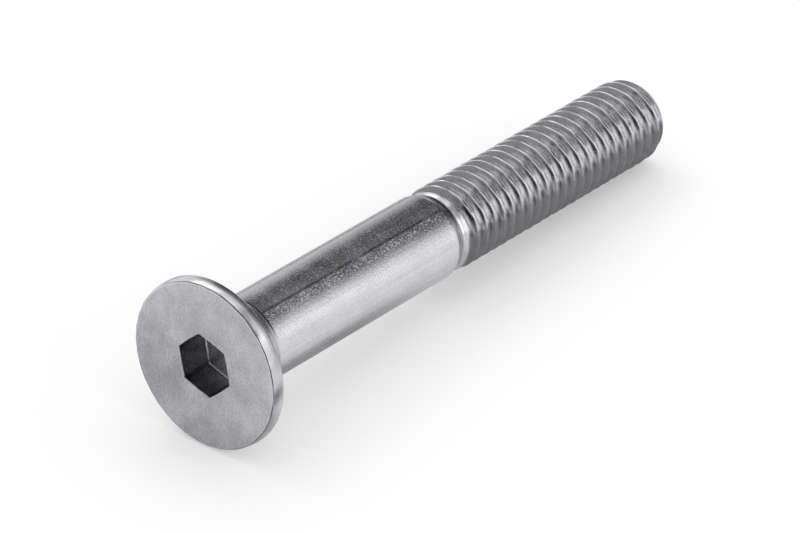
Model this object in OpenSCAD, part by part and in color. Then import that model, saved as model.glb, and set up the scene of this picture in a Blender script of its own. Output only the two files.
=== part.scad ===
// Countersunk screw with a hexagon socket and a partly threaded shank, M8 x 60.
// It is cold forged and rolled from one piece of stainless bar, so it is one solid.
// It lies on its side: the head's rim and the tip touch the ground at z = 0, the head
// is at -X, the tip at +X, and the origin is under the middle of its bounding box.
// Lengths along the screw are measured from the flat front of its head.
// The threaded end is a plain round of the thread's outside diameter.

/* [Overall] */
// Length from the front of the head to the tip
screw_l = 60; // [50:1:80]

/* [Head] */
// Largest diameter of the head, at its rim
head_d = 15.5; // [12.8:0.1:18.6]
// How much smaller than the rim the flat front is, on the radius
crown_in = 0.13; // [0.05:0.01:0.3]
// Depth of the crowned edge, from the front to the rim's straight land
crown_l = 0.64; // [0.4:0.02:0.9]
// Length of the straight land round the rim
land_l = 0.37; // [0.1:0.01:0.8]
// Radius where the land turns into the countersunk cone
rim_round = 0.35; // [0.1:0.05:0.6]
// Included angle of the countersunk cone
sink_angle = 90; // [82:1:100]
// Radius of the fillet between the cone and the shank
head_fillet = 0.9; // [0.2:0.1:1.5]

/* [Socket] */
// Size of the hexagon socket across its flats
socket_af = 5.05; // [4:0.05:6.1]
// Depth of the socket's floor below the front of the head
socket_depth = 3.2; // [2:0.1:4]
// Width of the small bevel round the socket's mouth
socket_bevel = 0.06; // [0.02:0.01:0.2]
// Radius between the socket's walls and its floor
socket_round = 0.2; // [0.1:0.05:0.5]
// Turn of the hexagon about the screw's axis, from a corner straight up
socket_turn = -14; // [-30:0.5:30]

/* [Shank] */
// Diameter of the plain shank
shank_d = 7.94; // [7.4:0.02:9.6]
// Distance from the front of the head to the end of the plain shank
shank_end = 29.2; // [20:0.1:36]

/* [Neck] */
// Length of the tapered step from the shank down to the bare blank
step_l = 0.9; // [0.3:0.1:1.5]
// Length of the bare blank between the step and the thread
blank_l = 0.2; // [0.1:0.1:2]
// How much smaller than the thread the bare blank is, on the radius
blank_in = 0.37; // [0.2:0.01:0.6]
// Length over which the thread rises to its full diameter
rise_l = 1.2; // [0.6:0.1:3]

/* [Thread] */
// Outside diameter of the thread
thread_d = 7.97; // [7.4:0.01:9.6]
// Length of the rounded point
point_l = 2.1; // [1.5:0.1:2.6]
// How much smaller than the thread the flat end is, on the radius
point_in = 0.9; // [0.4:0.05:1.4]

/* [Hidden] */
$fn = 96;

// How far a cut runs past the face that it opens
cut_past = 1;

head_r = head_d / 2;
face_r = head_r - crown_in;
shank_r = shank_d / 2;
thread_r = thread_d / 2;
blank_r = thread_r - blank_in;
tip_r = thread_r - point_in;

// Radius of an arc that leaves a straight side smoothly and falls by drop over a length run
function arc_radius(drop, run) = (drop * drop + run * run) / (2 * drop);
crown_arc = arc_radius(crown_in, crown_l);
point_arc = arc_radius(point_in, point_l);

// Stations along the screw, from the front of the head
half_sink = sink_angle / 2;
land_end = crown_l + land_l;
cone_start = land_end + rim_round * sin(half_sink);
cone_start_r = head_r - rim_round * (1 - cos(half_sink));
cone_end = cone_start + (cone_start_r - shank_r) / tan(half_sink);
step_end = shank_end + step_l;
blank_end = step_end + blank_l;
thread_start = blank_end + rise_l;
point_start = screw_l - point_l;

// Lying tilt: the ground touches the rim's rounding and the point's arc
arc_gap = point_start - land_end;
arc_fall = head_r - rim_round - thread_r + point_arc;
lie_tilt = atan(arc_fall / arc_gap)
    + asin((rim_round - point_arc) / norm([arc_gap, arc_fall]));
lie_height = land_end * sin(lie_tilt) + (head_r - rim_round) * cos(lie_tilt) + rim_round;
lie_middle = (screw_l * cos(lie_tilt) + (tip_r - face_r) * sin(lie_tilt)) / 2;

// Turn of the round faces about the axis, which keeps their seam line off the ground
seam_turn = 99.2;

// Half outlines, with x as the radius and y as the distance from the front

// A straight side that then bends smoothly inwards along an arc of the given length
module bent_side(outer_r, straight_l, arc_r, arc_l) {
    square([outer_r, straight_l]);
    square([outer_r - arc_r, straight_l + arc_l]);
    intersection() {
        square([outer_r, straight_l + arc_l]);
        translate([outer_r - arc_r, straight_l]) circle(arc_r);
    }
}

// The rim's land bends in to the flat front on one side and to the cone on the other
module head_outline() {
    translate([0, land_end]) mirror([0, 1]) bent_side(head_r, land_l, crown_arc, crown_l);
    translate([0, crown_l]) bent_side(head_r, land_l, rim_round, cone_start - land_end);
    polygon([
        [0, land_end], [shank_r, land_end], [cone_start_r, cone_start],
        [shank_r, cone_end], [0, cone_end]
    ]);
}

// The fillet touches the cone and the shank, and fills the corner between them
module fillet_outline() {
    centre = [shank_r + head_fillet, cone_end + head_fillet * tan(half_sink / 2)];
    on_cone = centre - head_fillet * [cos(half_sink), sin(half_sink)];
    difference() {
        polygon([[0, on_cone.y], on_cone, centre, [0, centre.y]]);
        translate(centre) circle(head_fillet);
    }
}

// Plain shank, tapered step, bare blank and the thread's rise to its full diameter
module shank_outline() {
    polygon([
        [0, cone_start], [shank_r, cone_start], [shank_r, shank_end], [blank_r, step_end],
        [blank_r, blank_end], [thread_r, thread_start], [thread_r, point_start], [0, point_start]
    ]);
}

module thread_outline() {
    translate([0, thread_start])
        bent_side(thread_r, point_start - thread_start, point_arc, point_l);
}

// Section of the socket across one pair of flats, with y as the depth
module socket_section() {
    half = socket_af / 2;
    inner = half - socket_round;
    mouth = half + socket_bevel + cut_past;
    polygon([[-mouth, -cut_past], [mouth, -cut_past], [half, socket_bevel], [-half, socket_bevel]]);
    translate([-half, 0]) square([socket_af, socket_depth - socket_round]);
    translate([-inner, 0]) square([2 * inner, socket_depth]);
    for (side = [-1, 1])
        translate([side * inner, socket_depth - socket_round]) circle(socket_round);
}

// The hexagon is what three bars, one for each pair of flats, have in common
module socket() {
    rotate([0, 0, socket_turn])
        intersection_for (pair = [0:2])
            rotate([0, 0, 30 + 60 * pair])
                rotate([90, 0, 0])
                    linear_extrude(3 * socket_af, center = true)
                        socket_section();
}

module screw() {
    color([0.72, 0.72, 0.75])
        translate([-lie_middle, 0, lie_height])
            rotate([0, 90 + lie_tilt, 0])
                difference() {
                    rotate([0, 0, seam_turn])
                        rotate_extrude() {
                            head_outline();
                            fillet_outline();
                            shank_outline();
                            thread_outline();
                        }
                    socket();
                }
}

screw();
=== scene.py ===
import math
import bpy
import numpy as np
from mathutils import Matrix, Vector


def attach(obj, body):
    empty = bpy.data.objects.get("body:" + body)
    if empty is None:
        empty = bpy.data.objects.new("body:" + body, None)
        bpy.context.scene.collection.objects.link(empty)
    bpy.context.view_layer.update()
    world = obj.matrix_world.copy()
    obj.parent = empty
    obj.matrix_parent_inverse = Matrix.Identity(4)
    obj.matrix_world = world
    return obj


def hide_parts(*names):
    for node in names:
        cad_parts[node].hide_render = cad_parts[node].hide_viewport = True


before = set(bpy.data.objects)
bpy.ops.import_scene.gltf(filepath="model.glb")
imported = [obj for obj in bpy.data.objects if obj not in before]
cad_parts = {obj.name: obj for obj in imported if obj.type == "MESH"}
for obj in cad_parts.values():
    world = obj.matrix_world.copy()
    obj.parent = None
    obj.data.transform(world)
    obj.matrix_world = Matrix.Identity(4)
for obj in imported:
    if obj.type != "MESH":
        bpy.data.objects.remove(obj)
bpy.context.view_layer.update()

# Countersunk M8 x 60 screw with a hexagon socket, lying on its rim and its tip. Metres throughout.
# On the screw, "along" is the distance from the flat front of the head, "radius" the distance from
# its axis, and "around" the turn about the axis, from straight down towards +Y.
mm = 0.001

# how the screw lies: its axis falls towards the tip, and its front stands off the origin
lying = dict(tilt=math.radians(3.7808), height=7.8005 * mm, back=29.785 * mm)

axisWay = np.array([math.cos(lying["tilt"]), 0, -math.sin(lying["tilt"])])
downWay = np.array([-math.sin(lying["tilt"]), 0, -math.cos(lying["tilt"])])
sideWay = np.array([0.0, 1.0, 0.0])
frontCentre = np.array([-lying["back"], 0, lying["height"]])


def placeOnGround(along, radius, around):
    # front centre + along the axis + radius times (cos of the turn down, sin of the turn sideways)
    return (frontCentre + along[..., None] * axisWay
            + (radius * np.cos(around))[..., None] * downWay
            + (radius * np.sin(around))[..., None] * sideWay)


def smoothStep(low, high, value):
    # rises from 0 to 1 between low and high as 3t^2 - 2t^3
    t = np.clip((value - low) / (high - low), 0, 1)
    return t * t * (3 - 2 * t)


def bell(value, width):
    # one at zero, and falls to each side as e to the minus (value over width) squared
    return np.exp(-(value / width) ** 2)


def stripe(around, middle, width):
    # a bell over one line along the screw: its middle and width in degrees from straight down
    return bell(np.degrees(np.mod(around, 2 * np.pi)) - middle, width)


def arcRadius(drop, run):
    # radius of an arc that leaves a straight side smoothly and falls by drop over a length run
    return (drop * drop + run * run) / (2 * drop)


def unevenness(around, along, seed, waves=9, longest=4 * mm, shortest=0.6 * mm, turns=14):
    # a sum of cosines, each with up to so many whole waves around the screw and its own wavelength
    # along it, over the root of half their number, so that it mostly stays within one of zero
    rng = np.random.default_rng(seed)
    total = np.zeros(np.broadcast(around, along).shape)
    for n in range(waves):
        whole = rng.integers(1, turns + 1)
        length = longest * (shortest / longest) ** rng.random()
        total += np.cos(whole * around + 2 * np.pi * (along / length + rng.random()))
    return total / math.sqrt(waves / 2)


# steps round the axis, a whole number of them on each side of the socket; folds past "sharp" shade as edges
steps = dict(count=144, start=math.radians(-14), sharp=math.radians(42))
turn = steps["start"] + 2 * np.pi * np.arange(steps["count"]) / steps["count"]


def ringStack(*values):
    # values that each ring has once, repeated at all the steps around
    grids = np.broadcast_arrays(*[np.atleast_1d(value)[:, None] + 0 * turn for value in values])
    return [grid.copy() for grid in grids]


# Each strip below returns along, radius, how worn and how much painted shade and dirt darken it, on a grid of
# rings and steps.

# socket: sizes, then its rings as shares of the floor, degrees of the bend, shares of the wall and
# shares of the bevel, with how worn and how much darker the rings of the bend and the bevel are
socket = dict(flats=5.03 * mm, depth=3.2 * mm, bevel=0.06 * mm, round=0.2 * mm, bow=0.05 * mm,
              floorRings=(0.12, 0.3, 0.5, 0.7, 0.85, 0.95), wallRings=(0.93, 0.8, 0.65, 0.5, 0.35, 0.2, 0.08),
              bendRings=(0, 18, 36, 54, 72, 90), bendWorn=(0, 0.6, 1, 1, 0.6, 0),
              bendDarker=(0, 0, 0, 0.3, 0.7, 1), bevelDeep=(1.1, 0.45, 0.0), bevelWide=(0.0, 0.25, 1.0),
              bevelWorn=(0, 0.5, 1), bevelDarker=(0.7, 0.3, 0))
# the walls darker, in streaks and more so from so many degrees off a side's middle to the corner
socketDarkening = dict(level=0.32, streak=0.2, contrast=1.5, stretch=0.35, corner=0.45, cornerReach=(22, 29),
                 uneven=dict(seed=21, waves=10, longest=4 * mm, shortest=1.5 * mm, turns=12))


def hexagon(halfFlats, bow):
    # distance to the side of a hexagon: half its flats over the cosine of the angle from the side's
    # middle, plus a bow that is full in the middle and falls with the angle squared to nothing at a corner
    fromMiddle = np.mod(turn - steps["start"], math.radians(60)) - math.radians(30)
    return halfFlats / np.cos(fromMiddle) + bow * (1 - (fromMiddle / math.radians(30)) ** 2)


def socketStrip():
    # floor, quarter round (its radius times the sine outwards and the cosine deeper), straight wall and a
    # small rounded bevel: each ring is the wall's hexagon times its size over the wall's
    half, corner, deep, bevel = socket["flats"] / 2, socket["round"], socket["depth"], socket["bevel"]
    floorPart, wallPart = np.array(socket["floorRings"]), np.array(socket["wallRings"])
    onFloor, onWall = 0 * floorPart, 0 * wallPart
    bend = np.radians(socket["bendRings"])
    size = [floorPart * (half - corner), half - corner + corner * np.sin(bend),
            onWall + half, half + bevel * np.array(socket["bevelWide"])]
    along = [onFloor + deep, deep - corner + corner * np.cos(bend),
             wallPart * (deep - corner), bevel * np.array(socket["bevelDeep"])]
    worn = [onFloor, socket["bendWorn"], onWall, socket["bevelWorn"]]
    darker = [onFloor, socket["bendDarker"], onWall + 1, socket["bevelDarker"]]
    size, along, worn, darker = ringStack(*[np.concatenate(parts) for parts in (size, along, worn, darker)])
    streaks = unevenness(turn, socketDarkening["stretch"] * along, **socketDarkening["uneven"])
    fromMiddle = np.abs(np.mod(np.degrees(turn - steps["start"]), 60) - 30)
    wallDark = socketDarkening["level"] + socketDarkening["streak"] * np.tanh(socketDarkening["contrast"] * streaks)
    wallDark = wallDark + socketDarkening["corner"] * smoothStep(*socketDarkening["cornerReach"], fromMiddle)
    return along, size / half * hexagon(half, socket["bow"]), worn, darker * wallDark


# head: sizes, then its rings as shares of the front, the crown, the land and the cone, degrees of the
# rim's turn, and how many the fillet has
head = dict(radius=7.75 * mm, front=7.62 * mm, edge=0.1 * mm, crown=0.78 * mm, land=0.23 * mm,
            rimRound=0.35 * mm, slope=math.radians(45), fillet=0.9 * mm,
            frontRings=(0.02, 0.05, 0.1, 0.17, 0.25, 0.34, 0.43, 0.52, 0.61, 0.7, 0.78, 0.85, 0.91, 0.955,
                        0.985),
            crownRings=(0.14, 0.2, 0.27, 0.36, 0.47, 0.58, 0.69, 0.8, 0.9, 1.0), landRings=(0.5, 1.0),
            rimRings=(9, 18, 27, 36, 45), coneRings=(0.12, 0.3, 0.5, 0.7, 0.88), filletRings=9)
# crease round the front's edge: rings as (share of the edge's bend, share of the depth), and how its
# depth and its place wander; it has its least depth at one turn and its full depth across from it
crease = dict(depth=0.035 * mm, wobble=0.012 * mm, climb=0.002 * mm, least=0.02, leastAt=math.radians(75),
              rise=(0.3, 0.85), spread=0.25, contrast=2,
              rings=((0, 0.3), (0.2, 0.9), (0.4, 1.0), (0.6, 0.7), (0.8, 0.2), (1.0, 0.0)),
              wander=dict(seed=11, waves=12, turns=40), uneven=dict(seed=12, waves=14, turns=30))
rimShade = dict(around=241, width=10, shadeAndDirt=0.45)  # a darker place on the rim, in degrees: painted shade that dims a softbox's highlight there


def frontStrip():
    # the flat front: by its share, a ring's radius is between the hexagon and the front's rounded edge
    share = np.array(head["frontRings"])[:, None]
    inner = hexagon(socket["flats"] / 2 + socket["bevel"], socket["bow"])
    radius = (1 - share) * inner + share * (head["front"] - head["edge"])
    return 0 * radius, radius, 0 * radius, 0 * radius


def rimStrip():
    # the front's rounded edge (tangent arc) with its crease, the crown's arc, the straight land and the
    # rim's turn into the cone, which goes its radius times the sine along and one less the cosine inwards
    drop, run, edge = head["radius"] - head["front"], head["crown"], head["edge"]
    arc = arcRadius(drop, run)
    lean = math.pi / 2 - math.atan(2 * drop * run / (run * run - drop * drop))  # the edge's whole bend
    wobble = crease["wobble"] * unevenness(turn, 0 * turn, **crease["wander"])
    cut = smoothStep(*crease["rise"], 0.5 - 0.5 * np.cos(turn - crease["leastAt"]))
    cut = crease["least"] + (1 - crease["least"]) * cut
    rough = np.tanh(crease["contrast"] * unevenness(turn, 0 * turn, **crease["uneven"]))
    cut = cut * (1 - crease["spread"] + crease["spread"] * rough)
    bend, deep = np.array(crease["rings"]).T[:, :, None]
    edgeAlong = edge * (1 - np.cos(bend * lean)) + deep * crease["depth"] * cut
    edgeRadius = head["front"] - edge * math.tan(lean / 2) + edge * np.sin(bend * lean) + wobble

    # the crown's circle, with half the wobble where the fade is full, over the crown's first half; there
    # each ring is larger than the one before by at least the crease's climb
    crownAlong = np.array(head["crownRings"])[:, None] * run
    fade = 1 - smoothStep(0, 0.5 * run, crownAlong)
    circle = head["radius"] - arc + np.sqrt(arc * arc - (run - crownAlong) ** 2)
    climb = np.cumsum(crease["climb"] * fade, axis=0)
    rising = np.vstack([edgeRadius[-1:], circle + fade * 0.5 * wobble - climb])
    crownRadius = np.maximum.accumulate(rising)[1:] + climb

    landAlong, landRadius = ringStack(run + np.array(head["landRings"]) * head["land"], head["radius"])
    rimBend = np.radians(head["rimRings"])
    rimAlong, rimRadius = ringStack(run + head["land"] + head["rimRound"] * np.sin(rimBend),
                                    head["radius"] - head["rimRound"] * (1 - np.cos(rimBend)))
    along = np.vstack([edgeAlong, crownAlong + 0 * turn, landAlong, rimAlong])
    radius = np.vstack([edgeRadius, crownRadius, landRadius, rimRadius])
    # painted shade on the rim at one turn, dimming the softbox's highlight
    dimmed = rimShade["shadeAndDirt"] * stripe(turn, rimShade["around"], rimShade["width"])
    # the crease's rings are darkened by their depth: painted shade in a real groove
    return along, radius, 0 * along, np.vstack([deep * cut, *[dimmed] * (len(along) - len(deep))])


def coneStrip():
    # the straight cone, then a fillet that ends on the shank: its centre is one fillet radius off both
    slope, fillet = head["slope"], head["fillet"]
    coneStart = head["crown"] + head["land"] + head["rimRound"] * math.sin(slope)
    startRadius = head["radius"] - head["rimRound"] * (1 - math.cos(slope))
    coneEnd = coneStart + (startRadius - shank["radius"]) / math.tan(slope)
    bend = np.linspace(slope, 0, head["filletRings"])
    filletAlong = coneEnd + fillet * math.tan(slope / 2) - fillet * np.sin(bend)
    filletRadius = shank["radius"] + fillet - fillet * np.cos(bend)
    part = np.array(head["coneRings"])
    coneAlong = coneStart + part * (filletAlong[0] - coneStart)
    coneRadius = startRadius + part * (filletRadius[0] - startRadius)
    along, radius = ringStack(np.concatenate([coneAlong, filletAlong]),
                              np.concatenate([coneRadius, filletRadius]))
    return along, radius, 0 * along, 0 * along


# shank: its last rings as (edges before its end, edges off its radius, how worn)
shank = dict(radius=3.97 * mm, end=29.2 * mm, edge=0.06 * mm, rings=11, plainEnd=3,
             edgeRings=((1.2, 0.0, 0.0), (0.5, 0.08, 0.5), (0.0, 0.32, 1.0)))


def shankStrip(first):
    # a plain cylinder from the fillet's last ring, whose last rings drop by shares of its edge
    before, drop, worn = np.array(shank["edgeRings"]).T
    plain = np.linspace(first, shank["end"] - shank["plainEnd"] * shank["edge"], shank["rings"] + 1)[1:]
    along, radius, worn = ringStack(
        np.concatenate([plain, shank["end"] - shank["edge"] * before]),
        shank["radius"] - shank["edge"] * np.concatenate([0 * plain, drop]),
        np.concatenate([0 * plain, worn]))
    return along, radius, worn, 0 * along


# neck: a tapered step down to the bare blank, then a rise to the thread
neck = dict(startDrop=0.3 * shank["edge"], radius=3.615 * mm, stepEnd=30.1 * mm, blankEnd=30.3 * mm,
            riseEnd=31.5 * mm)
# thread: one right-hand helix, whose seam starts at "first"; "soft" blends it into its envelope
thread = dict(radius=3.985 * mm, pitch=1.25 * mm, turns=22, first=30.9 * mm, crestAt=0.20 * mm,
              runOut=(30.5 * mm, 31.0 * mm), crest=0.025 * mm, corner=0.022 * mm, root=0.28 * mm,
              flank=math.radians(60), soft=0.02 * mm, length=60.0 * mm, pointStart=57.9 * mm,
              pointRadius=3.085 * mm)
# where one pitch is cut into rings, as distances to each side of a crest's middle
halfCuts = np.array([0.018, 0.035, 0.052, 0.075, 0.12, 0.22, 0.34, 0.40, 0.47, 0.55]) * mm
cuts = np.concatenate([[0.0], halfCuts, [thread["pitch"] / 2], thread["pitch"] - halfCuts[::-1]])
# how the crests wander along the screw, and how dented the thread is
crestWander = dict(amount=0.010 * mm,
                   uneven=dict(seed=3, waves=14, longest=9 * mm, shortest=2 * mm, turns=16))
threadDents = dict(amount=0.007 * mm,
                   uneven=dict(seed=5, waves=16, longest=5 * mm, shortest=1.4 * mm, turns=18))
# worn line along the crests: its width, and how much narrower it gets over a reach of the turn's cosine
crestWear = dict(width=0.035 * mm, narrower=0.013 * mm, reach=(-0.5, -0.2), spread=0.32, contrast=1.8,
                 uneven=dict(seed=8, waves=10, longest=14 * mm, shortest=2 * mm, turns=24))


def envelope(along):
    # step, bare blank and rise are straight lines; the point is an arc that leaves the thread smoothly
    stations = [shank["end"], neck["stepEnd"], neck["blankEnd"], neck["riseEnd"], thread["pointStart"]]
    plain = np.interp(along, stations, [shank["radius"] - neck["startDrop"], neck["radius"], neck["radius"],
                                        thread["radius"], thread["radius"]])
    run = thread["length"] - thread["pointStart"]
    arc = arcRadius(thread["radius"] - thread["pointRadius"], run)
    past = np.clip(along - thread["pointStart"], 0, run)
    return plain - (arc - np.sqrt(arc * arc - past * past))


def fromCrest(along, around):
    # signed distance along the screw to the nearest crest of a right-hand helix, less than zero on the
    # crest's side towards the head
    pitch = thread["pitch"]
    helix = along - thread["first"] - thread["crestAt"] - pitch * (around - steps["start"]) / (2 * np.pi)
    return np.mod(helix + pitch / 2, pitch) - pitch / 2


def threadDepth(along, around):
    # straight flanks from a narrow crest: the distance past the crest's edge times the tangent of
    # their slope, smooth at the edge; between them a round root, a circle that both flanks touch
    half, bottom, slope = thread["pitch"] / 2, thread["root"], thread["flank"]
    aside = np.abs(fromCrest(along, around))
    shift = crestWander["amount"] * unevenness(around, along, **crestWander["uneven"])
    aside = aside - shift * (1 - aside / half)
    past = (aside - thread["crest"]) * math.tan(slope)
    flank = (past + np.sqrt(past * past + thread["corner"] ** 2)) / 2
    middle = (half - thread["crest"]) * math.tan(slope) - bottom / math.cos(slope)
    root = middle + np.sqrt(np.maximum(bottom * bottom - (half - aside) ** 2, 0))
    return np.where(half - aside < bottom * math.sin(slope), root, flank)


def threadRadius(along, around):
    # the thread's radius less its depth, which fades in over the run-out, or the envelope where that is
    # smaller: half of (both - root of (difference squared + soft squared)), and a quarter of soft put back
    dents = threadDents["amount"] * unevenness(around, along, **threadDents["uneven"])
    grooved = thread["radius"] + dents - threadDepth(along, around) * smoothStep(*thread["runOut"], along)
    room, soft = envelope(along), thread["soft"]
    return (grooved + room - np.sqrt((grooved - room) ** 2 + soft * soft)) / 2 + 0.25 * soft


def threadWear(along, around):
    # a narrow bell over each crest, brighter and duller along its length
    bright = np.tanh(crestWear["contrast"] * unevenness(around, along, **crestWear["uneven"]))
    bright = 1 - crestWear["spread"] + crestWear["spread"] * bright
    narrower = crestWear["narrower"] * smoothStep(*crestWear["reach"], np.cos(around))
    line = bell(fromCrest(along, around), crestWear["width"] - narrower)
    return bright * line * smoothStep(*thread["runOut"], along)


# painted shade on the thread: it sets in over a reach of the turn's cosine, for the upper grooves of minus
# the cosine;
# "deep" is a reach across the groove; light lines are (share taken off, turn, width) in degrees, and so are
# "around" and "aroundWidth"; "at" and "width" are measured from the crest
shadeBlotches = dict(seed=9, waves=10, longest=4 * mm, shortest=1 * mm, turns=20)
# the thread's underside, facing the floor, darker: painted shade, less on the crests
undersideShade = dict(reach=(-0.33, -0.13), blotches=0.02, lessOnCrests=0.5)
# the deep parts of the upper grooves darker: painted shade, with two lighter lines along them: painted
# reflections
grooveShade = dict(reach=(0.56, 0.76), blotches=0.06, deep=(0.25, 0.75), level=0.6, spread=0.2,
                 lightLines=((0.55, 190, 8), (0.5, 216, 7)))
# a narrow dark wedge beside each crest: a painted dark reflection of the camera's side
wedgeShade = dict(level=0.92, at=-0.125 * mm, width=0.09 * mm, reach=(-0.95, -0.55))
# one dark streak along the thread at a set turn: a painted dark reflection
streakShade = dict(level=0.8, at=-0.2 * mm, width=0.15 * mm, around=203, aroundWidth=8, plain=0.8, spread=0.3)


def threadShade(along, around):
    # the deepest of four, past the run-out, all painted shade: darker on the side that the screw lies on,
    # less on the crests; darker in the upper grooves, with two painted light lines along them; a narrow dark
    # wedge beside each crest on the head's side and one dark streak along the thread, both painted dark
    # reflections
    blotches = unevenness(around, along, **shadeBlotches)
    lowness, offCrest = np.cos(around), fromCrest(along, around)
    under = smoothStep(*undersideShade["reach"], lowness + undersideShade["blotches"] * blotches)
    under = under * (1 - undersideShade["lessOnCrests"] * threadWear(along, around) ** 2)
    upper = smoothStep(*grooveShade["reach"], grooveShade["blotches"] * blotches - lowness)
    upper = upper * smoothStep(*grooveShade["deep"], np.abs(offCrest) / (thread["pitch"] / 2))
    upper = upper * (grooveShade["level"] + grooveShade["spread"] * blotches)
    lightened = 1
    for deep, middle, width in grooveShade["lightLines"]:
        lightened = lightened - deep * stripe(around, middle, width)
    upper = upper * lightened
    wedge = wedgeShade["level"] * bell(offCrest - wedgeShade["at"], wedgeShade["width"])
    wedge = wedge * smoothStep(*wedgeShade["reach"], lowness)
    streak = streakShade["level"] * bell(offCrest - streakShade["at"], streakShade["width"])
    streak = streak * stripe(around, streakShade["around"], streakShade["aroundWidth"])
    streak = streak * (streakShade["plain"] + streakShade["spread"] * blotches)
    return np.maximum.reduce([under, upper, wedge, streak]) * smoothStep(*thread["runOut"], along)


def threadRow(along, around):
    # along as it is, with the thread's radius, wear and painted shade at the same points
    return along, threadRadius(along, around), threadWear(along, around), threadShade(along, around)


# rings of the neck as (first, last, how many), on the step, past its foot, and from the blank to the thread
neckRings = ((shank["end"] + 0.03 * mm, neck["stepEnd"] - 0.02 * mm, 8),
             (neck["stepEnd"] + 0.02 * mm, neck["stepEnd"] + 0.1 * mm, 2),
             (neck["blankEnd"] - 0.04 * mm, thread["first"] - 0.05 * mm, 12))
# painted shade on the neck: in the corner at the foot of the step, on the step, and on the rise, where it
# dims the rise's highlight
neckShade = dict(corner=0.8, foot=neck["stepEnd"] + 0.1 * mm, footWidth=0.16 * mm,
                step=0.7, stepFade=0.2 * mm, rise=0.3, riseFade=0.3 * mm)


def neckStrip():
    # rings from the step over the bare blank to the first turn, with the deepest of the painted shades
    along = ringStack(np.concatenate([np.linspace(*stretch) for stretch in neckRings]))[0]
    along, radius, worn, shadeAndDirt = threadRow(along, turn + 0 * along)
    corner = bell(along - neckShade["foot"], neckShade["footWidth"])
    step = smoothStep(shank["end"], shank["end"] + neckShade["stepFade"], along)
    step = step * smoothStep(neckShade["foot"], neck["stepEnd"] - neckShade["stepFade"], along)
    rise = smoothStep(neck["blankEnd"], neck["blankEnd"] + neckShade["riseFade"], along)
    shades = [shadeAndDirt, neckShade["corner"] * corner, neckShade["step"] * step, neckShade["rise"] * rise]
    return along, radius, worn, np.maximum.reduce(shades)


# end of the screw: rings on the point, the edge's two last rings off the end, shares of the flat, and how
# much of the thread's painted shade the point keeps
tip = dict(rings=4, edgeStart=0.03 * mm, edgeEnd=0.008 * mm, edgeDrop=0.03 * mm, flatDrop=0.02 * mm,
           flatRings=(0.97, 0.88, 0.7, 0.5, 0.3, 0.12), shadeAndDirt=0.3)


def endStrip(first):
    # from the last turn over the rounded edge to the flat end
    point = np.linspace(first, thread["length"] - tip["edgeStart"], tip["rings"] + 1)[1:]
    along = ringStack(np.append(point, thread["length"] - tip["edgeEnd"]))[0]
    along, radius, worn, shadeAndDirt = threadRow(along, turn + 0 * along)
    radius[-1] -= tip["edgeDrop"]
    flat = np.array(tip["flatRings"])[:, None] * (radius[-1:] - tip["flatDrop"])
    return (np.vstack([along, thread["length"] + 0 * flat]), np.vstack([radius, flat]),
            np.vstack([worn, 0 * flat]), np.vstack([tip["shadeAndDirt"] * shadeAndDirt, 0 * flat]))


def addPoints(shell, along, radius, worn, shadeAndDirt, around):
    # places a grid of points in the shell, and returns the grid of their numbers
    along, radius, worn, shadeAndDirt, around = np.broadcast_arrays(along, radius, worn, shadeAndDirt, around)
    count = sum(len(part) for part in shell["points"])
    shell["points"].append(placeOnGround(along, radius, around).reshape(-1, 3))
    shell["worn"].append(worn.ravel())
    shell["shadeAndDirt"].append(shadeAndDirt.ravel())
    return count + np.arange(along.size).reshape(along.shape)


def addSheet(shell, grid, finish):
    # four neighbours on a grid of point numbers make one face, turned so that it looks outwards
    corners = [grid[:-1, :-1], grid[:-1, 1:], grid[1:, 1:], grid[1:, :-1]]
    quads = np.stack(corners, -1).reshape(-1, 4)
    shell["quads"].append(quads)
    shell["quadFinish"].append(np.full(len(quads), finish))


def addFan(shell, pole, ring, finish, outward=True):
    # one three-sided face from the pole to each pair of neighbours on the ring
    pair = [ring[:-1], ring[1:]] if outward else [ring[1:], ring[:-1]]
    threes = np.stack([np.full(len(ring) - 1, pole)] + pair, -1)
    shell["threes"].append(threes)
    shell["threeFinish"].append(np.full(len(threes), finish))


def closed(grid):
    # repeats the first column after the last, so that the sheet goes all the way round
    return np.concatenate([grid, grid[:, :1]], 1)


finishes = ["socketSteel", "frontSteel", "rimSteel", "shankSteel", "threadSteel"]
socketFinish, frontFinish, rimFinish, shankFinish, threadFinish = range(len(finishes))


def addHeadAndShank(shell):
    # strips of rings from the socket's floor to the neck's last ring, joined into one sheet
    cone = coneStrip()
    strips = [(socketStrip(), socketFinish), (frontStrip(), frontFinish), (rimStrip(), rimFinish),
              (cone, rimFinish), (shankStrip(cone[0][-1, 0]), shankFinish), (neckStrip(), threadFinish)]
    ringFinish = np.concatenate([np.full(len(strip[0]), finish) for strip, finish in strips])
    columns = zip(*[strip for strip, finish in strips])
    body = closed(addPoints(shell, *[np.vstack(column) for column in columns], turn))
    for n in range(len(body) - 1):
        addSheet(shell, body[n:n + 2], ringFinish[n + 1])
    floorPole = addPoints(shell, np.array([socket["depth"]]), 0.0, 0.0, 0.0, 0.0)[0]
    addFan(shell, floorPole, body[0], socketFinish, outward=False)
    return body[-1]


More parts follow.
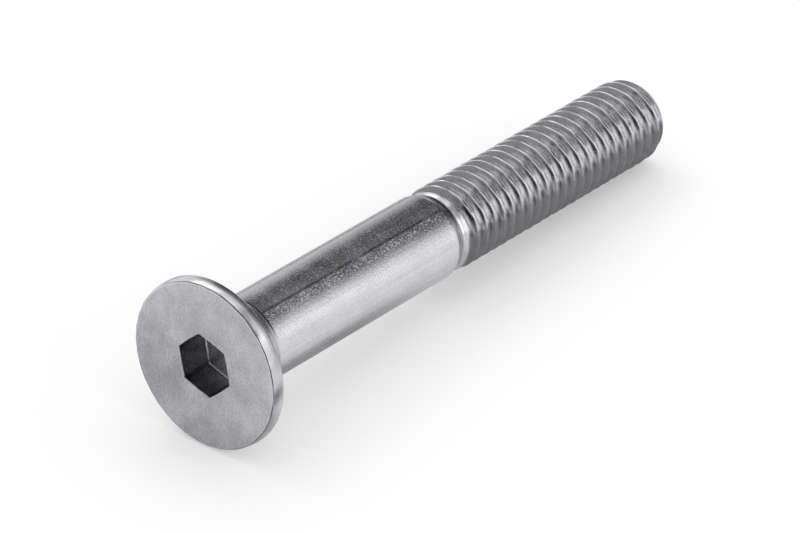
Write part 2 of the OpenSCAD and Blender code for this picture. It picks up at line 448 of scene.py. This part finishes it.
def addThread(shell, neckRing):
    # a sheet whose rings climb one pitch in a full turn, so ring j ends on the start of ring j + perTurn
    perTurn, pitch = len(cuts), thread["pitch"]
    order = np.arange(thread["turns"] * perTurn + 1)
    ringStart = thread["first"] + (order // perTurn) * pitch + cuts[order % perTurn]
    part = (turn - steps["start"]) / (2 * np.pi)
    rising = ringStart[:, None] + pitch * part
    main = addPoints(shell, *threadRow(rising, turn + 0 * rising), turn)
    # below the first turn its lines fan out of the seam's first point
    low = thread["first"] + cuts[:, None] * part[None, 1:]
    lowPart = addPoints(shell, *threadRow(low, turn[1:] + 0 * low), turn[1:])
    firstPoint = main[0, 0]
    lowGrid = np.concatenate([np.full((perTurn, 1), firstPoint), lowPart, main[:perTurn, :1]], 1)
    lowGrid = np.vstack([lowGrid, np.append(main[0], main[perTurn, 0])])
    addSheet(shell, lowGrid[:, 1:], threadFinish)
    addFan(shell, firstPoint, lowGrid[:, 1], threadFinish)
    # above the last turn they close on the seam's last point
    top = thread["first"] + thread["turns"] * pitch
    high = top + pitch * part + np.append(cuts[1:], pitch)[:, None] * (1 - part)
    highPart = addPoints(shell, *threadRow(high, turn + 0 * high), turn)
    seam = np.concatenate([main[perTurn:, 0], highPart[:, 0]])
    addSheet(shell, np.concatenate([main, seam[:, None]], 1), threadFinish)
    highGrid = np.vstack([main[-1], highPart])
    addSheet(shell, highGrid, threadFinish)
    addFan(shell, highPart[-1, 0], highGrid[:, -1], threadFinish, outward=False)
    # neck to the first ring, last ring to the flat end
    lowRing = np.concatenate([[firstPoint], lowPart[0], [firstPoint]])
    addSheet(shell, np.vstack([neckRing, lowRing]), threadFinish)
    end = closed(addPoints(shell, *endStrip(top + pitch), turn))
    addSheet(shell, np.vstack([closed(highPart[-1:]), end]), threadFinish)
    endPole = addPoints(shell, np.array([thread["length"]]), 0.0, 0.0, 0.0, 0.0)[0]
    addFan(shell, endPole, end[-1], threadFinish)


def buildScrew():
    # the shell gathers the points, how worn each is and how much painted shade and dirt darken it, the faces
    # and each face's finish
    shell = dict(points=[], worn=[], shadeAndDirt=[], quads=[], threes=[], quadFinish=[], threeFinish=[])
    addThread(shell, addHeadAndShank(shell))
    mesh = bpy.data.meshes.new("screwBody")
    quads, threes = np.vstack(shell["quads"]), np.vstack(shell["threes"])
    mesh.from_pydata(np.vstack(shell["points"]).tolist(), [], quads.tolist() + threes.tolist())
    faceFinish = np.concatenate(shell["quadFinish"] + shell["threeFinish"])
    mesh.polygons.foreach_set("material_index", faceFinish.astype(np.int32))
    mesh.polygons.foreach_set("use_smooth", np.ones(len(mesh.polygons), bool))
    for name in ("worn", "shadeAndDirt"):
        values = np.concatenate(shell[name]).astype(np.float32)
        mesh.attributes.new(name, "FLOAT", "POINT").data.foreach_set("value", values)
    mesh.set_sharp_from_angle(angle=steps["sharp"])
    mesh.update()
    screw = bpy.data.objects.new("screwBody", mesh)
    bpy.context.scene.collection.objects.link(screw)
    print("screw:", len(mesh.vertices), "points,", 2 * len(quads) + len(threes), "triangles")
    return screw


screw = buildScrew()

# finishes: plain, bright and soilAndShade are the colour in the open, where worn, and under full painted
# shade and dirt; speck is what specks add to the roughness; patch and grain are sizes in mm, and their depths
# are shares of the colour; a stretch under 1 draws the grain out along the screw; bump is in mm
finishValues = dict(
    socketSteel=dict(plain=0.43, bright=0.55, soilAndShade=0.06, rough=0.28, roughSpread=0.05, speck=0.00,
                     patch=0.9, patchDepth=0.40, grain=0.20, grainDepth=0.15, stretch=1.0, bump=0.010),
    frontSteel=dict(plain=0.545, bright=0.58, soilAndShade=0.10, rough=0.40, roughSpread=0.08, speck=0.06,
                    patch=2.2, patchDepth=0.47, grain=0.22, grainDepth=0.45, stretch=1.0, bump=0.010),
    rimSteel=dict(plain=0.58, bright=0.62, soilAndShade=0.08, rough=0.22, roughSpread=0.04, speck=0.00,
                  patch=1.2, patchDepth=0.10, grain=0.16, grainDepth=0.08, stretch=1.0, bump=0.007),
    shankSteel=dict(plain=0.62, bright=0.66, soilAndShade=0.16, rough=0.22, roughSpread=0.05,
                    patch=2.2, patchDepth=0.18, grain=0.14, stretch=0.8, bump=0.012),
    threadSteel=dict(plain=0.61, bright=0.74, soilAndShade=0.21, rough=0.21, roughSpread=0.05, speck=0.02,
                     patch=1.1, patchDepth=0.28, grain=0.15, grainDepth=0.32, stretch=1.0, bump=0.003))
# what all finishes share: the steel's tint, the noises' detail, and how patches and grain make the rest
steel = dict(tint=(1.0, 0.995, 1.045), patchDetail=4.0, grainDetail=2.0, noiseRough=0.6, patchHeight=0.4,
             grainRough=0.4, roughFrom=(0.3, 0.7), speckFrom=(0.50, 0.64))
# lines drawn along the shank, and one darker draw mark in pieces: its turn in degrees, its width in mm,
# the share of the colour that it takes, and the slower noise that breaks it; scales are waves to the mm
drawnLines = dict(stretch=0.02, scale=4.0, detail=3.0, depth=0.14, height=0.5)
drawMark = dict(around=205.9, width=0.09, deep=0.65, pieceScale=0.9, pieces=(0.28, 0.45))
# the mark's two sides, in mm across the shank from it: where the lower side sets in, where the light
# stripe on it ends, a painted reflection, and how the upper side darkens, painted shade; that stripe's specks
# and clouds, as (from, to) of the noise and (low, high) of their strength; then (more on the lower side,
# everywhere) for three values
markSides = dict(lower=(-0.1, 0.3), stripeEnd=(1.1, 0.6), specks=(0.48, 0.68, 0.22, 0.75),
                 clouds=(0.38, 0.6, 0.5, 1.2), upper=(-2.9, -2.0, 0.78),
                 grainDepth=(0.13, 0.11), speck=(0.06, 0.10), bump=(0.60, 0.40))
# fine rings left by the rolling dies, which fade in on the neck between two distances in mm from the front
dieRings = dict(stretch=0.06, scale=7.0, rough=0.7, fade=(31.2, 30.6), depth=0.9)


def add(tree, kind, inputs=None, output=0, **settings):
    # one node with its settings; an input given as a socket is linked, else it is the value
    made = tree.nodes.new("ShaderNode" + kind)
    for key, value in settings.items():
        setattr(made, key, value)
    for key, value in (inputs or {}).items():
        if isinstance(value, bpy.types.NodeSocket):
            tree.links.new(value, made.inputs[key])
        else:
            made.inputs[key].default_value = value
    return made.outputs[output]


def combine(tree, operation, first, second=0.0, third=0.0):
    # one step of arithmetic on up to three values
    return add(tree, "Math", {0: first, 1: second, 2: third}, operation=operation)


def times(tree, first, second):
    # the product of two values
    return combine(tree, "MULTIPLY", first, second)


def aboutOne(tree, value, depth):
    # 1 plus depth times how far a 0..1 noise is above its middle, doubled
    return combine(tree, "MULTIPLY_ADD", combine(tree, "MULTIPLY_ADD", value, 2.0, -1.0), depth, 1.0)


def spread(tree, value, start, end, low=0.0, high=1.0, kind="LINEAR"):
    # goes from low to high while the value goes from start to end, and no further past them
    limits = {"From Min": start, "From Max": end, "To Min": low, "To Max": high}
    return add(tree, "MapRange", {"Value": value, **limits}, interpolation_type=kind)


def noise(tree, vector, scale, detail=2.0, roughness=0.5):
    # a 0..1 noise with so many waves to the unit
    settings = {"Vector": vector, "Scale": scale, "Detail": detail, "Roughness": roughness}
    return add(tree, "TexNoise", settings)


def stretched(tree, vector, along, aside=1.0):
    # the vector with its part along the screw and its parts across it each times a number
    return add(tree, "VectorMath", {0: vector, 1: (along, aside, aside)}, operation="MULTIPLY")


def screwCoordinates(tree):
    # the screw's own coordinates in mm, x along it from the front: the object's less the front's centre,
    # turned back by the tilt
    tilt, front = lying["tilt"], frontCentre / mm
    turned = (front[0] * math.cos(tilt) - front[2] * math.sin(tilt), front[1],
              front[0] * math.sin(tilt) + front[2] * math.cos(tilt))
    objectPlace = add(tree, "TexCoord", output=3)
    return add(tree, "Mapping", {"Vector": objectPlace, "Location": [-v for v in turned],
                                 "Rotation": (0, -tilt, 0), "Scale": (1 / mm, 1 / mm, 1 / mm)})


def shankMarks(tree, own, drawn, patches, grain, shade, height):
    # drawn lines and the draw mark in the shade and the height, a light speckled stripe below the mark as a
    # painted reflection, painted shade on the upper side, and how deep the grain, how rough the specks and
    # how strong the bump are on each side of the mark
    lines = noise(tree, stretched(tree, own, drawnLines["stretch"]), drawnLines["scale"],
                  drawnLines["detail"], steel["noiseRough"])
    shade = times(tree, shade, aboutOne(tree, lines, drawnLines["depth"]))
    height = combine(tree, "MULTIPLY_ADD", lines, drawnLines["height"], height)
    # distance from the mark's line: root of (sideways squared + upwards squared)
    markTurn, radius = math.radians(drawMark["around"]), shank["radius"] / mm
    split = add(tree, "SeparateXYZ", {0: own}).node.outputs
    offY = combine(tree, "SUBTRACT", split[1], radius * math.sin(markTurn))
    offZ = combine(tree, "SUBTRACT", split[2], -radius * math.cos(markTurn))
    offLine = combine(tree, "SQRT", combine(tree, "MULTIPLY_ADD", offY, offY, times(tree, offZ, offZ)))
    mark = spread(tree, offLine, 2 * drawMark["width"], 0.0, high=drawMark["deep"], kind="SMOOTHSTEP")
    slow = noise(tree, drawn, drawMark["pieceScale"])
    mark = times(tree, mark, spread(tree, slow, *drawMark["pieces"]))
    shade = times(tree, shade, combine(tree, "SUBTRACT", 1.0, mark))
    # across: sideways times the cosine plus upwards times the sine of the mark's turn
    across = combine(tree, "MULTIPLY_ADD", offY, math.cos(markTurn), times(tree, offZ, math.sin(markTurn)))
    lower = spread(tree, across, *markSides["lower"], kind="SMOOTHSTEP")
    until = spread(tree, across, *markSides["stripeEnd"], kind="SMOOTHSTEP")
    specks, clouds = spread(tree, grain, *markSides["specks"]), spread(tree, patches, *markSides["clouds"])
    # the light speckled stripe below the mark: a painted reflection
    speckled = times(tree, times(tree, lower, until), times(tree, specks, clouds))
    shade = times(tree, shade, combine(tree, "ADD", 1.0, speckled))
    # the shank's upper side darker: painted shade
    shade = times(tree, shade, spread(tree, across, *markSides["upper"], kind="SMOOTHSTEP"))
    return shade, height, *[combine(tree, "MULTIPLY_ADD", lower, *markSides[name])
                            for name in ("grainDepth", "speck", "bump")]


def neckLines(tree, own):
    # rings as a noise that is long around the screw and short along it, only on the neck
    rings = noise(tree, stretched(tree, own, 1.0, dieRings["stretch"]), dieRings["scale"],
                  roughness=dieRings["rough"])
    onNeck = spread(tree, add(tree, "SeparateXYZ", {0: own}), *dieRings["fade"])
    return aboutOne(tree, rings, times(tree, onNeck, dieRings["depth"]))


def steelFinish(name):
    # colour: the level (plain to worn) times the shade of patches and grain, mixed with soilAndShade by the
    # painted shade and dirt
    values = finishValues[name]
    material = bpy.data.materials.new(name)
    material.use_nodes = True
    tree = material.node_tree
    shader = tree.nodes["Principled BSDF"]
    shader.inputs["Metallic"].default_value = 1.0
    own = screwCoordinates(tree)
    drawn = stretched(tree, own, values["stretch"])
    patches = noise(tree, own, 1 / values["patch"], steel["patchDetail"], steel["noiseRough"])
    grain = noise(tree, drawn, 1 / values["grain"], steel["grainDetail"], steel["noiseRough"])
    worn, shadeAndDirt = [add(tree, "Attribute", output=2, attribute_name=kind) for kind in ("worn", "shadeAndDirt")]
    shade = aboutOne(tree, patches, values["patchDepth"])
    height = combine(tree, "MULTIPLY_ADD", patches, steel["patchHeight"], grain)
    if name == "shankSteel":
        shade, height, grainDepth, speck, bump = shankMarks(tree, own, drawn, patches, grain, shade, height)
    else:
        grainDepth, speck, bump = values["grainDepth"], values["speck"], 1.0
    shade = times(tree, shade, aboutOne(tree, grain, grainDepth))
    if name == "threadSteel":
        shade = times(tree, shade, neckLines(tree, own))
    level = times(tree, spread(tree, worn, 0.0, 1.0, values["plain"], values["bright"]), shade)
    soilAndShade = times(tree, shade, values["soilAndShade"])
    level = add(tree, "Mix", {"Factor": shadeAndDirt, "A": level, "B": soilAndShade}, data_type="FLOAT")
    colour = add(tree, "CombineColor", {n: times(tree, level, steel["tint"][n]) for n in range(3)})
    tree.links.new(colour, shader.inputs["Base Color"])
    # roughness: spread over patches and grain together, and more on the brightest specks of the grain
    mixed = add(tree, "Mix", {"Factor": steel["grainRough"], "A": patches, "B": grain}, data_type="FLOAT")
    rough = spread(tree, mixed, *steel["roughFrom"], values["rough"] - values["roughSpread"],
                   values["rough"] + values["roughSpread"])
    rough = combine(tree, "ADD", rough, spread(tree, grain, *steel["speckFrom"], high=speck))
    tree.links.new(rough, shader.inputs["Roughness"])
    normal = add(tree, "Bump", {"Strength": bump, "Distance": values["bump"] * mm, "Height": height})
    tree.links.new(normal, shader.inputs["Normal"])
    return material


for name in finishes:
    screw.data.materials.append(steelFinish(name))
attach(screw, "root")
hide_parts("screw")
print("finishes:", ", ".join(finishes))

# studio: the floor's half side in metres, the world's strength as seen and as light, and how far off the
# softboxes are
studio = dict(floorHalf=3.0, floorColour=0.8, floorGlow=0.28, worldShow=1.0, worldLight=0.76, reach=0.9)
# softboxes: azimuth and elevation in degrees, width and height in metres, watts
softboxes = dict(keyBox=(-76, 22, 0.88, 0.56, 1.25), topBox=(-60, 75, 0.65, 0.65, 0.4),
                 backBox=(68, 46, 0.8, 0.52, 1.2))
# dark flags seen only in the metal: azimuth, elevation, half width and half height in degrees, share of
# the reach, shade, feather
flags = dict(tipFlag=(5, 27, 54, 32, 0.97, 0.05, 0.45), topFlag=(-42, 62, 28, 12, 0.96, 0.42, 0.5),
             leftFlag=(152, 20, 56, 34, 0.97, 0.34, 0.3), cameraFlag=(-156, 2, 28, 22, 0.95, 0.01, 0.25),
             upFlag=(-112, 62, 50, 25, 0.955, 0.08, 0.3))
# the same lying just above the floor, as painted shade on the floor that only the metal sees: x, y, half
# length and half width in metres, shade, feather
floorFlags = dict(
    sideFlag=(-0.092, -0.036, 0.056, 0.030, 0.03, 0.3), rimFlag=(-0.034, -0.010, 0.012, 0.006, 0.25, 0.8),
    contactFlag=(-0.018, -0.001, 0.022, 0.009, 0.35, 0.7), backFlag=(0.042, 0.056, 0.055, 0.036, 0.12, 0.6),
    faceFlag=(-0.038, 0.011, 0.011, 0.013, 0.50, 0.8), wedgeFlag=(-0.031, -0.020, 0.022, 0.008, 0.30, 0.6),
    farFlag=(-0.36, -0.16, 0.26, 0.13, 0.02, 0.3))
# flags as cloths: points each way, lowest and highest elevation in degrees, height off the floor
cloth = dict(points=41, lowest=-1, highest=89, offFloor=0.1 * mm)


def whiteForEyes(tree):
    # one where a camera, glossy or transmission ray looks, else zero
    rays = add(tree, "LightPath").node.outputs
    seen = combine(tree, "MAXIMUM", rays["Is Camera Ray"], rays["Is Glossy Ray"])
    return combine(tree, "MAXIMUM", seen, rays["Is Transmission Ray"])


def wayTo(azimuth, elevation):
    # unit vector: azimuth turns from +X towards +Y, elevation climbs from the floor
    swing, climb = np.radians(azimuth), np.radians(elevation)
    level = np.cos(climb)
    return np.stack([np.cos(swing) * level, np.sin(swing) * level, np.sin(climb) + 0 * swing], -1)


def surround():
    # an even world, a little brighter to look at than it is as light
    world = bpy.data.worlds.new("studio")
    bpy.context.scene.world = world
    world.use_nodes = True
    tree = world.node_tree
    background = tree.nodes["Background"]
    strength = spread(tree, whiteForEyes(tree), 0.0, 1.0, studio["worldLight"], studio["worldShow"])
    tree.links.new(strength, background.inputs["Strength"])
    background.inputs["Color"].default_value = (1, 1, 1, 1)


def floor():
    # a flat square that glows a little to the eye and gives no light
    half = studio["floorHalf"]
    corners = [(-half, -half, 0), (half, -half, 0), (half, half, 0), (-half, half, 0)]
    mesh = bpy.data.meshes.new("floor")
    mesh.from_pydata(corners, [], [(0, 1, 2, 3)])
    laid = bpy.data.objects.new("floor", mesh)
    bpy.context.scene.collection.objects.link(laid)
    material = bpy.data.materials.new("floorLook")
    material.use_nodes = True
    tree = material.node_tree
    shader = tree.nodes["Principled BSDF"]
    shader.inputs["Base Color"].default_value = (*[studio["floorColour"]] * 3, 1)
    shader.inputs["Roughness"].default_value = 1.0
    shader.inputs["Specular IOR Level"].default_value = 0.0
    shader.inputs["Emission Color"].default_value = (1, 1, 1, 1)
    glow = times(tree, whiteForEyes(tree), studio["floorGlow"])
    tree.links.new(glow, shader.inputs["Emission Strength"])
    mesh.materials.append(material)


def softbox(name, azimuth, elevation, width, height, watts):
    # an area lamp at the studio's reach that looks back at the origin
    lamp = bpy.data.lights.new(name, "AREA")
    lamp.shape, lamp.size, lamp.size_y, lamp.energy = "RECTANGLE", width, height, watts
    box = bpy.data.objects.new(name, lamp)
    bpy.context.scene.collection.objects.link(box)
    way = wayTo(azimuth, elevation)
    box.location = way * studio["reach"]
    box.rotation_mode = "QUATERNION"
    box.rotation_quaternion = Vector(way).to_track_quat("Z", "Y")
    box.visible_camera = False


def standingCloth(u, v, azimuth, elevation, halfWide, halfHigh, share):
    # a patch of a sphere round the origin, a little nearer than the softboxes
    climb = np.clip(elevation + v * halfHigh, cloth["lowest"], cloth["highest"])
    return wayTo(azimuth + u * halfWide, climb) * share * studio["reach"]


def lyingCloth(u, v, x, y, halfLong, halfWide):
    # a patch just above the floor
    return np.stack([x + u * halfLong, y + v * halfWide, 0 * u + cloth["offFloor"]], -1)


def flag(name, clothShape, place, shade, feather):
    # a dark cloth whose cover rises smoothly inwards from its edges, over one feather of the distance
    # 1 - fourth root of (u to the fourth + v to the fourth)
    across = np.linspace(-1, 1, cloth["points"])
    u, v = np.meshgrid(across, across)
    numbers = np.arange(u.size).reshape(u.shape)
    corners = [numbers[:-1, :-1], numbers[1:, :-1], numbers[1:, 1:], numbers[:-1, 1:]]
    quads = np.stack(corners, -1).reshape(-1, 4)
    mesh = bpy.data.meshes.new(name)
    mesh.from_pydata(clothShape(u, v, *place).reshape(-1, 3).tolist(), [], quads.tolist())
    cover = smoothStep(0, feather, 1 - (u ** 4 + v ** 4) ** 0.25).ravel().astype(np.float32)
    mesh.attributes.new("cover", "FLOAT", "POINT").data.foreach_set("value", cover)
    material = bpy.data.materials.new(name + "Cloth")
    mesh.materials.append(material)
    material.use_nodes = True
    tree = material.node_tree
    tree.nodes.remove(tree.nodes["Principled BSDF"])
    covered = add(tree, "Attribute", output=2, attribute_name="cover")
    clear, dark = add(tree, "BsdfTransparent"), add(tree, "Emission", {"Strength": shade})
    mixed = add(tree, "MixShader", {0: covered, 1: clear, 2: dark})
    tree.links.new(mixed, tree.nodes["Material Output"].inputs["Surface"])
    hung = bpy.data.objects.new(name, mesh)
    bpy.context.scene.collection.objects.link(hung)
    hung.visible_camera = hung.visible_diffuse = hung.visible_shadow = False
    hung.visible_transmission = hung.visible_volume_scatter = False


surround()
floor()
for name, values in softboxes.items():
    softbox(name, *values)
for cloths, clothShape in ((flags, standingCloth), (floorFlags, lyingCloth)):
    for name, values in cloths.items():
        flag(name, clothShape, values[:-2], *values[-2:])
print("studio:", len(softboxes), "softboxes,", len(flags) + len(floorFlags), "flags")

# camera: lens and sensor in mm, the way that it looks in degrees, and the front's centre as it sees it
look = dict(lens=236.57, sensor=36, near=0.01, far=10, azimuth=-50.8, elevation=33.25,
            right=-16.36 * mm, down=8.31 * mm, away=438.69 * mm)


def placeCamera():
    # it stands off the front's centre by the distances at which it sees that centre
    swing, climb = math.radians(look["azimuth"]), math.radians(look["elevation"])
    level = math.cos(climb)
    back = np.array([math.sin(swing) * level, -math.cos(swing) * level, math.sin(climb)])
    right = np.cross(-back, [0, 0, 1])
    right /= np.linalg.norm(right)
    upward = np.cross(right, -back)
    camera = bpy.data.objects.new("camera", bpy.data.cameras.new("camera"))
    bpy.context.scene.collection.objects.link(camera)
    camera.data.lens, camera.data.sensor_width = look["lens"], look["sensor"]
    camera.data.clip_start, camera.data.clip_end = look["near"], look["far"]
    camera.location = frontCentre - right * look["right"] + upward * look["down"] + back * look["away"]
    camera.rotation_mode = "QUATERNION"
    camera.rotation_quaternion = Vector(-back).to_track_quat("-Z", "Y")
    bpy.context.scene.camera = camera


placeCamera()
bpy.context.scene.view_settings.view_transform = "Standard"
print("camera: lens", look["lens"], "mm")
